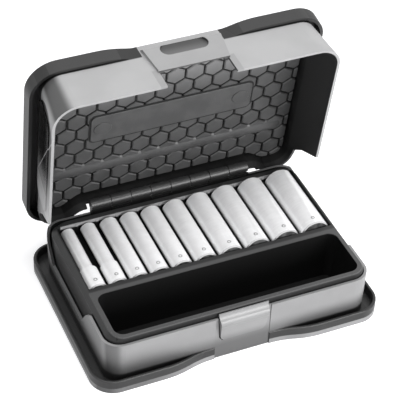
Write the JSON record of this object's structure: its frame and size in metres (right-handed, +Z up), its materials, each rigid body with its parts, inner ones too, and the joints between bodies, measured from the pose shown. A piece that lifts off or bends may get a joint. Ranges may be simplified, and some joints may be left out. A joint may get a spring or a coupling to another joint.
{
  "type": "socket case",
  "caption": "Hinged moulded case with a deep cap lid, an insert that cradles deep sockets side by side, an open bin in front and a press-in front latch.",
  "frame": {"origin": "middle of the base's underside", "axes": "+X along the hinge, -Y towards the latch at the front, +Z up; the lid is drawn open 80 degrees"},
  "size_m": [0.169, 0.1242, 0.1439],
  "materials": {
    "shell_grey": "satin moulded",
    "insert_dark": "fine matt grain",
    "badge_black": "gloss",
    "pin_steel": "drawn wire",
    "socket_chrome": "polished chrome plate"
  },
  "bodies": {
    "base": {"base_shell": "shell_grey", "socket_tray": "insert_dark", "hinge_pin": "pin_steel"},
    "lid": {"lid_shell": "shell_grey", "lid_liner": "insert_dark", "side_badge": "badge_black"},
    "latch": {"front_latch": "shell_grey"},
    "socket_05": {"socket_05": "socket_chrome"},
    "socket_06": {"socket_06": "socket_chrome"},
    "socket_07": {"socket_07": "socket_chrome"},
    "socket_08": {"socket_08": "socket_chrome"},
    "socket_09": {"socket_09": "socket_chrome"},
    "socket_10": {"socket_10": "socket_chrome"},
    "socket_11": {"socket_11": "socket_chrome"},
    "socket_12": {"socket_12": "socket_chrome"},
    "socket_13": {"socket_13": "socket_chrome"},
    "socket_14": {"socket_14": "socket_chrome"}
  },
  "joints": [
    {"name": "lid_hinge", "type": "hinge", "parent": "base", "child": "lid", "pos_m": [0, 0.0484, 0.0353], "axis": [-1, 0, 0], "range_deg": [-80, 10]},
    {"name": "latch_press", "type": "hinge", "parent": "base", "child": "latch", "pos_m": [0, -0.056, 0.0134], "axis": [-1, 0, 0], "range_deg": [0, 2.5], "stiffness_Nm_per_rad": 1, "springref_deg": -1.72},
    {"name": "socket_05_lift", "type": "slide", "parent": "base", "child": "socket_05", "axis": [0, 0, 1], "range_m": [0, 0.03]},
    {"name": "socket_06_lift", "type": "slide", "parent": "base", "child": "socket_06", "axis": [0, 0, 1], "range_m": [0, 0.03]},
    {"name": "socket_07_lift", "type": "slide", "parent": "base", "child": "socket_07", "axis": [0, 0, 1], "range_m": [0, 0.03]},
    {"name": "socket_08_lift", "type": "slide", "parent": "base", "child": "socket_08", "axis": [0, 0, 1], "range_m": [0, 0.03]},
    {"name": "socket_09_lift", "type": "slide", "parent": "base", "child": "socket_09", "axis": [0, 0, 1], "range_m": [0, 0.03]},
    {"name": "socket_10_lift", "type": "slide", "parent": "base", "child": "socket_10", "axis": [0, 0, 1], "range_m": [0, 0.03]},
    {"name": "socket_11_lift", "type": "slide", "parent": "base", "child": "socket_11", "axis": [0, 0, 1], "range_m": [0, 0.03]},
    {"name": "socket_12_lift", "type": "slide", "parent": "base", "child": "socket_12", "axis": [0, 0, 1], "range_m": [0, 0.03]},
    {"name": "socket_13_lift", "type": "slide", "parent": "base", "child": "socket_13", "axis": [0, 0, 1], "range_m": [0, 0.03]},
    {"name": "socket_14_lift", "type": "slide", "parent": "base", "child": "socket_14", "axis": [0, 0, 1], "range_m": [0, 0.03]}
  ]
}
